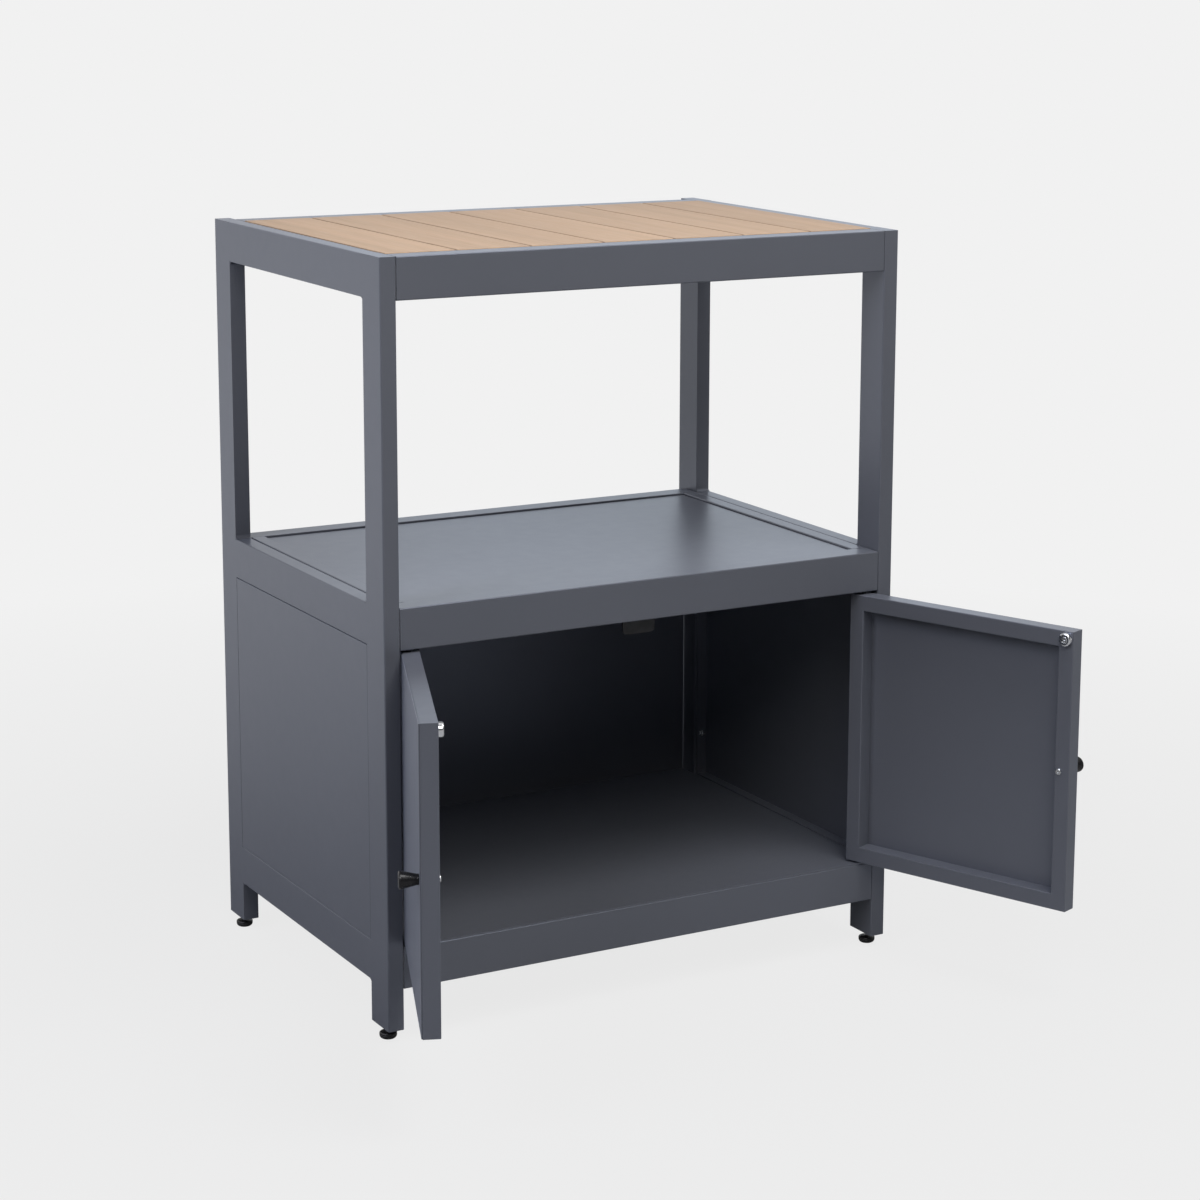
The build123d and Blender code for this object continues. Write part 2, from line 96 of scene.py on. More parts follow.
def door_outward(side):
    """Direction that the outer face of a door looks in as it stands open."""
    turn = 1 if side == "right" else -1
    angle = door_angle()
    return Vector((turn * math.sin(angle), -math.cos(angle), 0))


def measure_round(node, axis):
    """Base point on the axis, length and largest radius of a round solid."""
    points = [vertex.co for vertex in frame["nodes"][node].data.vertices]
    helper = Vector((1, 0, 0)) if abs(axis.z) > 0.5 else UP
    across = axis.cross(helper).normalized()
    beside = axis.cross(across).normalized()
    spans = []
    for line in (axis, across, beside):
        reach = [point.dot(line) for point in points]
        spans.append((min(reach), max(reach)))
    base = axis * spans[0][0]
    base += across * sum(spans[1]) / 2
    base += beside * sum(spans[2]) / 2
    return base, spans[0][1] - spans[0][0], (spans[1][1] - spans[1][0]) / 2


KNOB_LENGTH, KNOB_RADIUS = measure_round("right_door_knob", door_outward("right"))[1:]
PAD_HEIGHT, PAD_RADIUS = measure_round("left_front_foot_pad", UP)[1:]
STEM_RADIUS = measure_round("left_front_foot_stem", UP)[2]

# What a user may change


class CabinetFinishes(bpy.types.PropertyGroup):
    """Colours and gloss of the cabinet's surfaces."""

    coat_colour: FloatVectorProperty(
        name="Coat", description="Powder coat of the metal", subtype="COLOR", min=0, max=1,
        default=(0.090, 0.093, 0.104),
    )
    coat_roughness: FloatProperty(
        name="Coat roughness", description="How matt the powder coat is", subtype="FACTOR",
        min=0, max=1, default=0.36,
    )
    wood_colour: FloatVectorProperty(
        name="Wood", description="Middle tone of the slats", subtype="COLOR", min=0, max=1,
        default=(0.493, 0.341, 0.227),
    )
    knob_colour: FloatVectorProperty(
        name="Knob", description="Plastic of the door knobs", subtype="COLOR", min=0, max=1,
        default=(0.005, 0.005, 0.006),
    )
    pad_colour: FloatVectorProperty(
        name="Foot pad", description="Plastic of the foot pads, bushes and plugs", subtype="COLOR",
        min=0, max=1, default=(0.008, 0.008, 0.009),
    )
    # Near-black steel of the pins; on the catch plate this near-black is also painted shade from the front
    # rail above it
    black_steel_and_shade_colour: FloatVectorProperty(
        name="Black steel", description="Catch plate and the pins that the doors turn on", subtype="COLOR",
        min=0, max=1, default=(0.030, 0.030, 0.032),
    )
    steel_colour: FloatVectorProperty(
        name="Steel", description="Screws and foot stems", subtype="COLOR", min=0, max=1,
        default=(0.56, 0.57, 0.58),
    )
    chrome_colour: FloatVectorProperty(
        name="Magnet", description="Plated cups of the door magnets", subtype="COLOR", min=0, max=1,
        default=(0.74, 0.75, 0.77),
    )
    aluminium_colour: FloatVectorProperty(
        name="Bare aluminium", description="Uncoated pieces inside the frame", subtype="COLOR",
        min=0, max=1, default=(0.66, 0.67, 0.69),
    )


class CabinetTurnings(bpy.types.PropertyGroup):
    """Sizes of the turned pieces."""

    thread_pitch: FloatProperty(
        name="Thread pitch", description="Rise of a foot stem's thread in one turn", unit="LENGTH",
        min=0.0005, default=0.001,
    )
    thread_depth: FloatProperty(
        name="Thread depth", description="From crest to root of a foot stem's thread", unit="LENGTH",
        min=0.0001, default=0.00055,
    )
    pad_groove: FloatProperty(
        name="Pad groove", description="Depth of the groove above the sole of a foot pad", unit="LENGTH",
        min=0, default=0.0003,
    )
    pad_round: FloatProperty(
        name="Pad rounding", description="Radius from the sole to the side of a foot pad", unit="LENGTH",
        min=0.001, default=0.0045,
    )
    knob_neck: FloatProperty(
        name="Knob neck", description="Radius of a knob where it meets the door", unit="LENGTH",
        min=0.002, default=0.0062,
    )
    knob_dish: FloatProperty(
        name="Knob dish", description="Depth of the hollow in the face of a knob", unit="LENGTH",
        min=0, default=0.0005,
    )
    round_steps: IntProperty(
        name="Facets", description="Facets round a knob or a foot pad", min=12, default=64,
    )


class CabinetStudio(bpy.types.PropertyGroup):
    """Camera, lamps and background."""

    camera_place: FloatVectorProperty(
        name="Camera", description="Where the camera stands", subtype="TRANSLATION", unit="LENGTH",
        default=(-1.67297, -3.18261, 1.28008),
    )
    camera_turn: FloatProperty(
        name="Turn", description="Heading of the camera from straight on to the right", subtype="ANGLE",
        unit="ROTATION", default=math.radians(30.696),
    )
    camera_tilt: FloatProperty(
        name="Tilt", description="How far the camera looks down", subtype="ANGLE", unit="ROTATION",
        default=math.radians(10.847),
    )
    camera_roll: FloatProperty(
        name="Roll", description="Lean of the camera about its own line of sight", subtype="ANGLE",
        unit="ROTATION", default=math.radians(0.495),
    )
    camera_lens: FloatProperty(
        name="Lens", description="Focal length on a 36 mm sensor", unit="CAMERA", default=86.383,
    )
    camera_shift: FloatVectorProperty(
        name="Shift", description="Lens shift across and up", size=2, default=(-0.08333, -0.09167),
    )
    background: FloatVectorProperty(
        name="Background", description="Colour behind the cabinet", subtype="COLOR", min=0, max=1,
        default=(0.88, 0.88, 0.88),
    )
    floor_colour: FloatVectorProperty(
        name="Floor", description="Colour of the floor", subtype="COLOR", min=0, max=1,
        default=(0.42, 0.42, 0.42),
    )
    ambient: FloatProperty(
        name="Ambient", description="Strength of the light from all round", min=0, default=0.02,
    )
    left_power: FloatProperty(
        name="Left lamp", description="Power of the soft lamp at the upper left", subtype="POWER",
        unit="POWER", min=0, default=58,
    )
    top_power: FloatProperty(
        name="Top lamp", description="Power of the soft lamp high over the front", subtype="POWER",
        unit="POWER", min=0, default=68,
    )
    fill_power: FloatProperty(
        name="Fill lamp", description="Power of the soft lamp at the left in front", subtype="POWER",
        unit="POWER", min=0, default=43,
    )
    rear_power: FloatProperty(
        name="Rear lamp", description="Power of the soft lamp behind at the right", subtype="POWER",
        unit="POWER", min=0, default=4.5,
    )


# Building blocks for the finishes


def new_finish(name):
    """Empty material with one surface shader."""
    finish = bpy.data.materials.new(name)
    finish.use_nodes = True
    tree = finish.node_tree
    tree.nodes.clear()
    output = tree.nodes.new("ShaderNodeOutputMaterial")
    shader = tree.nodes.new("ShaderNodeBsdfPrincipled")
    tree.links.new(shader.outputs["BSDF"], output.inputs["Surface"])
    return finish, tree, shader


def own_place(tree, scale=(1, 1, 1), shift=(0, 0, 0)):
    """Coordinates of the piece itself, in metres, stretched and shifted."""
    coordinates = tree.nodes.new("ShaderNodeTexCoord")
    mapping = tree.nodes.new("ShaderNodeMapping")
    mapping.inputs["Location"].default_value = shift
    mapping.inputs["Scale"].default_value = scale
    tree.links.new(coordinates.outputs["Object"], mapping.inputs["Vector"])
    return mapping.outputs["Vector"]


def grain(tree, place, scale=1.0, detail=2.0, distortion=0.0):
    """Noise value at a place."""
    noise = tree.nodes.new("ShaderNodeTexNoise")
    noise.inputs["Scale"].default_value = scale
    noise.inputs["Detail"].default_value = detail
    noise.inputs["Distortion"].default_value = distortion
    tree.links.new(place, noise.inputs["Vector"])
    return noise.outputs["Fac"]


def spread(tree, value, low, high, start=0.3, end=0.7):
    """Value taken from the span between start and end to the span between low and high."""
    node = tree.nodes.new("ShaderNodeMapRange")
    node.inputs["From Min"].default_value = start
    node.inputs["From Max"].default_value = end
    node.inputs["To Min"].default_value = low
    node.inputs["To Max"].default_value = high
    tree.links.new(value, node.inputs["Value"])
    return node.outputs["Result"]


def tones(tree, value, stops):
    """Colour from a list of places and colours."""
    node = tree.nodes.new("ShaderNodeValToRGB")
    elements = node.color_ramp.elements
    while len(elements) < len(stops):
        elements.new(0.5)
    for element, (where, colour) in zip(elements, stops):
        element.position = where
        element.color = (*colour, 1)
    tree.links.new(value, node.inputs["Fac"])
    return node.outputs["Color"]


def colour_sockets(sockets):
    """Those sockets of a node that carry a colour."""
    return [socket for socket in sockets if socket.type == "RGBA"]


def blend_colours(tree, value, first, second):
    """Mix of two colour sockets."""
    node = tree.nodes.new("ShaderNodeMix")
    node.data_type = "RGBA"
    tree.links.new(value, node.inputs["Factor"])
    for source, socket in zip((first, second), colour_sockets(node.inputs)):
        tree.links.new(source, socket)
    return colour_sockets(node.outputs)[0]


def combine(tree, operation, *values):
    """One step of arithmetic, kept between nothing and one, on sockets and numbers."""
    node = tree.nodes.new("ShaderNodeMath")
    node.operation = operation
    node.use_clamp = True
    for value, socket in zip(values, node.inputs):
        if isinstance(value, (int, float)):
            socket.default_value = value
        else:
            tree.links.new(value, socket)
    return node.outputs["Value"]


def raise_surface(tree, shader, height, strength, depth):
    """Fine relief from a height value."""
    bump = tree.nodes.new("ShaderNodeBump")
    bump.inputs["Strength"].default_value = strength
    bump.inputs["Distance"].default_value = depth
    tree.links.new(height, bump.inputs["Height"])
    tree.links.new(bump.outputs["Normal"], shader.inputs["Normal"])


def shade(colour, factor):
    """Colour made lighter or darker."""
    return [min(1.0, part * factor) for part in colour]


# The finishes


def powder_coat(name, colour, roughness):
    """Fine matt powder coat with faint clouds and an even orange peel."""
    speckle_share = 0.35
    cloud_share = 0.65
    gloss_change = 0.012
    finish, tree, shader = new_finish(name)
    place = own_place(tree)
    clouds = grain(tree, place, scale=4.5, detail=3.0)
    speckle = grain(tree, place, scale=1100.0, detail=1.0)
    cloudy = combine(tree, "MULTIPLY", clouds, cloud_share)
    mixed = combine(tree, "MULTIPLY_ADD", speckle, speckle_share, cloudy)
    stops = [(0.30, shade(colour, 0.95)), (0.50, colour), (0.72, shade(colour, 1.05))]
    tree.links.new(tones(tree, mixed, stops), shader.inputs["Base Color"])
    patches = grain(tree, place, scale=60.0, detail=3.0)
    gloss = spread(tree, patches, roughness - gloss_change, roughness + gloss_change)
    tree.links.new(gloss, shader.inputs["Roughness"])
    shader.inputs["IOR"].default_value = 1.8
    shader.inputs["Specular Tint"].default_value = (0.70, 0.78, 1.0, 1)
    shader.inputs["Sheen Weight"].default_value = 0.28
    shader.inputs["Sheen Roughness"].default_value = 0.4
    shader.inputs["Sheen Tint"].default_value = (0.68, 0.76, 1.0, 1)
    peel = grain(tree, place, scale=620.0, detail=2.0)
    raise_surface(tree, shader, peel, strength=0.12, depth=0.0004)
    return finish


def slat_side_shade_mask(tree, node):
    """Mask for painted shade in the seams: one on the long sides of a slat, nothing on its top and a short
    change between them.
    """
    change_start = 0.0016
    change_end = 0.0003
    low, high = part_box(node)
    middle = (low[0] + high[0]) / 2
    half = (high[0] - low[0]) / 2
    parts = tree.nodes.new("ShaderNodeSeparateXYZ")
    tree.links.new(own_place(tree, shift=(-middle, 0, 0)), parts.inputs["Vector"])
    away = tree.nodes.new("ShaderNodeMath")
    away.operation = "ABSOLUTE"
    tree.links.new(parts.outputs["X"], away.inputs[0])
    return spread(tree, away.outputs["Value"], 0.0, 1.0, half - change_start, half - change_end)


def slat_wood(name, colour, number):
    """Pale oiled wood with straight grain along the slat, different on each slat, with painted shade on its
    long sides where the seams between slats are.
    """
    darkest_slat = 0.97
    slat_difference = 0.06
    order_step = 5
    log_step = (1.731, 0.917, 0.373)
    finish, tree, shader = new_finish(name)
    shift = [number * part for part in log_step]
    bands = grain(tree, own_place(tree, (26, 1.1, 26), shift), detail=5.0, distortion=0.6)
    lines = grain(tree, own_place(tree, (260, 3.5, 260), shift), detail=4.0, distortion=0.3)
    pores = grain(tree, own_place(tree, (900, 24, 900), shift), detail=2.0)
    rank = ((number * order_step) % SLAT_COUNT) / (SLAT_COUNT - 1)
    base = shade(colour, darkest_slat + slat_difference * rank)
    broad = tones(tree, bands, [(0.28, shade(base, 0.86)), (0.5, base), (0.74, shade(base, 1.12))])
    fine = tones(tree, lines, [(0.25, shade(base, 0.78)), (0.55, base), (0.8, shade(base, 1.08))])
    share = spread(tree, lines, 0.25, 0.55)
    face = blend_colours(tree, share, broad, fine)
    # Painted shade: the long sides of each slat, in the seams between slats, are coloured darker
    side = tones(tree, lines, [(0.3, shade(base, 0.74)), (0.7, shade(base, 0.88))])
    dressed = blend_colours(tree, slat_side_shade_mask(tree, "slat_" + str(number)), face, side)
    tree.links.new(dressed, shader.inputs["Base Color"])
    tree.links.new(spread(tree, pores, 0.52, 0.70), shader.inputs["Roughness"])
    shader.inputs["Specular IOR Level"].default_value = 0.35
    raise_surface(tree, shader, pores, strength=0.25, depth=0.0003)
    return finish


def moulded_plastic(name, colour, roughness, texture_scale, reflection=0.5):
    """Dark moulded plastic or lacquer with a fine even texture."""
    glossier = 0.05
    duller = 0.06
    finish, tree, shader = new_finish(name)
    shader.inputs["Specular IOR Level"].default_value = reflection
    place = own_place(tree)
    clouds = grain(tree, place, scale=90.0)
    stops = [(0.3, shade(colour, 0.8)), (0.7, shade(colour, 1.25))]
    tree.links.new(tones(tree, clouds, stops), shader.inputs["Base Color"])
    patches = grain(tree, place, scale=240.0)
    gloss = spread(tree, patches, roughness - glossier, roughness + duller)
    tree.links.new(gloss, shader.inputs["Roughness"])
    texture = grain(tree, place, scale=texture_scale)
    raise_surface(tree, shader, texture, strength=0.2, depth=0.0002)
    return finish


def plain_metal(name, colour, roughness, stretch):
    """Bare or plated metal with fine marks, longest along the axis with the smallest number in stretch."""
    finish, tree, shader = new_finish(name)
    shader.inputs["Metallic"].default_value = 1.0
    marks = grain(tree, own_place(tree, stretch), detail=3.0)
    stops = [(0.3, shade(colour, 0.88)), (0.7, shade(colour, 1.06))]
    tree.links.new(tones(tree, marks, stops), shader.inputs["Base Color"])
    gloss = spread(tree, marks, roughness * 0.75, roughness * 1.3)
    tree.links.new(gloss, shader.inputs["Roughness"])
    raise_surface(tree, shader, marks, strength=0.12, depth=0.0001)
    return finish


def finish_nodes(nodes, finish):
    """Puts a finish on the solids of the frame."""
    for name in nodes:
        piece = frame["nodes"].get(name)
        if piece is None:
            raise RuntimeError("the packed part has no node " + name)
        if not piece.material_slots:
            piece.data.materials.append(finish)
        for place in piece.material_slots:
            place.material = finish


def both_sides(part):
    """Names of a piece that the left and the right side each have."""
    return [side + "_" + part for side in SIDES]


# Building blocks for the turned pieces


def soften(profile, radius, steps=4):
    """Profile with its inner corners rounded, never by more than half a side."""
    side_share = 1 / 2.1
    soft = [profile[0]]
    for before, corner, after in zip(profile, profile[1:], profile[2:]):
        corner = Vector(corner)
        back = Vector(before) - corner
        ahead = Vector(after) - corner
        cut = min(radius, back.length * side_share, ahead.length * side_share)
        start = corner + back.normalized() * cut
        end = corner + ahead.normalized() * cut
        for step in range(steps + 1):
            share = step / steps
            first = start.lerp(corner, share)
            second = corner.lerp(end, share)
            soft.append(tuple(first.lerp(second, share)))
    soft.append(profile[-1])
    return soft


def upright_to(axis, base):
    """Matrix that takes a piece drawn up the Z axis to an axis and a base point."""
    turn = UP.rotation_difference(axis).to_matrix().to_4x4()
    return Matrix.Translation(base) @ turn


def round_place(radius, angle, height):
    """Point at a radius and an angle round the Z axis."""
    return radius * math.cos(angle), radius * math.sin(angle), height


def add_turned(mesh, profile, steps):
    """Adds the solid that a profile of radius and height sweeps round the Z axis."""
    point_radius = 1e-7
    rings = []
    for radius, height in profile:
        if radius < point_radius:
            rings.append([mesh.verts.new((0, 0, height))])
            continue
        ring = []
        for step in range(steps):
            angle = 2 * math.pi * step / steps
            ring.append(mesh.verts.new(round_place(radius, angle, height)))
        rings.append(ring)
    for lower, upper in zip(rings, rings[1:]):
        for step in range(steps):
            after = (step + 1) % steps
            if len(lower) == 1:
                corners = (lower[0], upper[after], upper[step])
            elif len(upper) == 1:
                corners = (lower[step], lower[after], upper[0])
            else:
                corners = (lower[step], lower[after], upper[after], upper[step])
            mesh.faces.new(corners)


def add_thread(mesh, root, crest, low, high, pitch, steps):
    """Adds one helical ridge round the Z axis that runs out at both ends."""
    half_width = 0.46 * pitch
    least_width = 0.02
    crest_share = 0.14
    sunk_root = 0.97 * root
    count = int((high - low) / pitch * steps)
    rows = []
    for step in range(count + 1):
        angle = 2 * math.pi * step / steps
        middle = low + (high - low) * step / count
        run_out = min(1.0, step / steps, (count - step) / steps)
        top = root + (crest - root) * run_out
        foot = half_width * max(run_out, least_width)
        flat = foot * crest_share
        section = ((sunk_root, -foot), (top, -flat), (top, flat), (sunk_root, foot))
        rows.append([mesh.verts.new(round_place(radius, angle, middle + rise)) for radius, rise in section])
    for now, then in zip(rows, rows[1:]):
        for side in range(len(now)):
            other = (side + 1) % len(now)
            mesh.faces.new((now[side], then[side], then[other], now[other]))
    mesh.faces.new(reversed(rows[0]))
    mesh.faces.new(rows[-1])


def make_piece(name, mesh, place, finish):
    """Object from a mesh being built, smooth except over sharp edges."""
    bmesh.ops.recalc_face_normals(mesh, faces=mesh.faces)
    data = bpy.data.meshes.new(name)
    mesh.to_mesh(data)
    mesh.free()
    data.transform(place)
    for face in data.polygons:
        face.use_smooth = True
    data.set_sharp_from_angle(angle=SHARP_EDGE)
    data.materials.append(finish)
    piece = bpy.data.objects.new(name, data)
    bpy.context.scene.collection.objects.link(piece)
    return piece


# One operator for each piece or group of like pieces


class CabinetCoatFrame(bpy.types.Operator):
    """Powder coats the posts, rails, sheets and ledges of the cabinet"""

    bl_idname = "cabinet.coat_frame"
    bl_label = "Coat the frame and sheets"

    def execute(self, context):
        chosen = context.scene.cabinet_finishes
        coat = powder_coat("frame_powder_coat", chosen.coat_colour, chosen.coat_roughness)
        nodes = ["slat_ledges", "shelf_side_rails", "shelf_ledges"]
        nodes += ["shelf_panel", "floor_panel", "back_panel"]
        for part in ("front_post", "rear_post", "top_rail", "mid_rail", "bottom_rail", "side_panel"):
            nodes += both_sides(part)
        for level in ("top", "shelf", "floor"):
            nodes.append(level + "_front_rail")
            nodes.append(level + "_rear_rail")
        finish_nodes(nodes, coat)
        return {"FINISHED"}


class CabinetCoatDoors(bpy.types.Operator):
    """Powder coats the door frames and their outer sheets"""

    bl_idname = "cabinet.coat_doors"
    bl_label = "Coat the doors"

    def execute(self, context):
        chosen = context.scene.cabinet_finishes
        coat = powder_coat("door_powder_coat", chosen.coat_colour, chosen.coat_roughness)
        finish_nodes(both_sides("door_frame") + both_sides("door_skin"), coat)
        return {"FINISHED"}


class CabinetOilSlats(bpy.types.Operator):
    """Gives each slat of the top its own piece of wood"""

    bl_idname = "cabinet.oil_slats"
    bl_label = "Oil the slats"

    def execute(self, context):
        chosen = context.scene.cabinet_finishes
        for number in range(1, SLAT_COUNT + 1):
            wood = slat_wood("slat_wood_" + str(number), chosen.wood_colour, number)
            finish_nodes(["slat_" + str(number)], wood)
        return {"FINISHED"}


class CabinetTurnKnobs(bpy.types.Operator):
    """Turns the two conical door knobs"""

    bl_idname = "cabinet.turn_knobs"
    bl_label = "Turn the knobs"

    def outline(self, sizes):
        """Radius and height from the middle of the neck to the middle of the dished face."""
        neck_height = 0.0022
        rim_height = 0.0024
        chamfer_height = 0.0008
        chamfer_width = 0.0016
        dish_start = 0.0030
        dish_end = 0.0045
        dish_height = KNOB_LENGTH - sizes.knob_dish
        return [
            (0, 0),
            (sizes.knob_neck, 0),
            (sizes.knob_neck, neck_height),
            (KNOB_RADIUS, KNOB_LENGTH - rim_height),
            (KNOB_RADIUS, KNOB_LENGTH - chamfer_height),
            (KNOB_RADIUS - chamfer_width, KNOB_LENGTH),
            (KNOB_RADIUS - dish_start, KNOB_LENGTH),
            (KNOB_RADIUS - dish_end, dish_height),
            (0, dish_height),
        ]

    def execute(self, context):
        chosen = context.scene.cabinet_finishes
        sizes = context.scene.cabinet_turnings
        plastic = moulded_plastic(
            "knob_plastic", chosen.knob_colour, roughness=0.28, texture_scale=260.0, reflection=0.34,
        )
        profile = soften(self.outline(sizes), radius=0.0005)
        for side in SIDES:
            node = side + "_door_knob"
            axis = door_outward(side)
            base = measure_round(node, axis)[0]
            mesh = bmesh.new()
            add_turned(mesh, profile, sizes.round_steps)
            knob = make_piece(side + "_knob", mesh, upright_to(axis, base), plastic)
            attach(knob, side + "_door")
            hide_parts(node)
        return {"FINISHED"}


class CabinetFinishCatches(bpy.types.Operator):
    """Finishes the door magnets and the plate that they pull on"""

    bl_idname = "cabinet.finish_catches"
    bl_label = "Finish the catches"

    def execute(self, context):
        chosen = context.scene.cabinet_finishes
        plated = plain_metal("magnet_plating", chosen.chrome_colour, roughness=0.11, stretch=(500, 500, 90))
        finish_nodes(both_sides("door_magnet"), plated)
        # Painted shade: the catch plate is near-black, partly its own black finish and partly to stand in
        # for the shade under the front rail
        lacquer = moulded_plastic(
            "catch_lacquer_and_shade", chosen.black_steel_and_shade_colour, roughness=0.6, texture_scale=900.0,
        )
        finish_nodes(["catch_plate"], lacquer)
        return {"FINISHED"}


class CabinetMouldPads(bpy.types.Operator):
    """Moulds the four foot pads with a rounded sole"""

    bl_idname = "cabinet.mould_pads"
    bl_label = "Mould the foot pads"

    def outline(self, sizes):
        """Radius and height from the middle of the sole to the floor of the socket for the stem."""
        bowl_steps = 8
        groove_low = 0.0004
        groove_middle = 0.0007
        groove_high = 0.0010
        collar = STEM_RADIUS + 0.0018
        socket = STEM_RADIUS + 0.0002
        socket_depth = 0.0036
        wall_top = PAD_HEIGHT - 0.0020
        shoulder = (PAD_RADIUS - 0.0010, PAD_HEIGHT - 0.0010)
        slope_start = (PAD_RADIUS - 0.0025, PAD_HEIGHT - 0.0006)
        bowl = sizes.pad_round
        points = [(0, 0)]
        for step in range(bowl_steps + 1):
            angle = math.radians(90 * step / bowl_steps)
            points.append((PAD_RADIUS - bowl + bowl * math.sin(angle), bowl - bowl * math.cos(angle)))
        points += [
            (PAD_RADIUS, bowl + groove_low),
            (PAD_RADIUS - sizes.pad_groove, bowl + groove_middle),
            (PAD_RADIUS, bowl + groove_high),
            (PAD_RADIUS, wall_top),
            shoulder,
            slope_start,
            (collar, PAD_HEIGHT),
            (socket, PAD_HEIGHT),
            (socket, PAD_HEIGHT - socket_depth),
            (0, PAD_HEIGHT - socket_depth),
        ]
        return points

    def execute(self, context):
        chosen = context.scene.cabinet_finishes
        sizes = context.scene.cabinet_turnings
        plastic = moulded_plastic("pad_plastic", chosen.pad_colour, roughness=0.46, texture_scale=1300.0)
        profile = soften(self.outline(sizes), radius=0.0005, steps=3)
        for corner in CORNERS:
            node = corner + "_foot_pad"
            base = measure_round(node, UP)[0]
            mesh = bmesh.new()
            add_turned(mesh, profile, sizes.round_steps)
            pad = make_piece(corner + "_pad", mesh, upright_to(UP, base), plastic)
            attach(pad, corner + "_foot")
            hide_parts(node)
        return {"FINISHED"}


class CabinetCutStems(bpy.types.Operator):
    """Cuts the threads of the four foot stems"""

    bl_idname = "cabinet.cut_stems"
    bl_label = "Cut the foot stems"

    def execute(self, context):
        core_steps = 40
        thread_steps = 24
        tip_bevel = 0.0008
        chosen = context.scene.cabinet_finishes
        sizes = context.scene.cabinet_turnings
        pitch = sizes.thread_pitch
        thread_start = 0.6 * pitch
        plain_end = 1.2 * pitch
        steel = plain_metal("stem_steel", chosen.steel_colour, roughness=0.30, stretch=(400, 400, 1500))
        root = STEM_RADIUS - sizes.thread_depth
        for corner in CORNERS:
            node = corner + "_foot_stem"
            base, length, radius = measure_round(node, UP)
            mesh = bmesh.new()
            tip = (root - tip_bevel, length)
            outline = [(0, 0), (root, 0), (root, length - tip_bevel), tip, (0, length)]
            add_turned(mesh, outline, core_steps)
            add_thread(mesh, root, radius, thread_start, length - plain_end, pitch, thread_steps)
            stem = make_piece(corner + "_stem", mesh, upright_to(UP, base), steel)
            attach(stem, corner + "_foot")
            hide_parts(node)
        return {"FINISHED"}


class CabinetFinishFasteners(bpy.types.Operator):
    """Finishes the screws, pins, bushes, plugs, spigots and pivot blocks"""

    bl_idname = "cabinet.finish_fasteners"
    bl_label = "Finish the fasteners"

    def execute(self, context):
        chosen = context.scene.cabinet_finishes
        even = (700, 700, 700)
        zinc = plain_metal("screw_zinc", chosen.steel_colour, roughness=0.26, stretch=even)
        finish_nodes(["rail_lock_screws", "body_screws"] + both_sides("door_screws"), zinc)
        blackened = plain_metal("black_steel", chosen.black_steel_and_shade_colour, roughness=0.38, stretch=even)
        finish_nodes(both_sides("door_pivot_pins"), blackened)
        nylon = moulded_plastic("nylon", chosen.pad_colour, roughness=0.5, texture_scale=1000.0)
        finish_nodes(["pivot_bushes", "foot_inserts"], nylon)
        milled = plain_metal(
            "milled_aluminium", chosen.aluminium_colour, roughness=0.36, stretch=(40, 700, 700),
        )
        finish_nodes(["rail_spigots"] + both_sides("door_pivot_blocks"), milled)
        return {"FINISHED"}


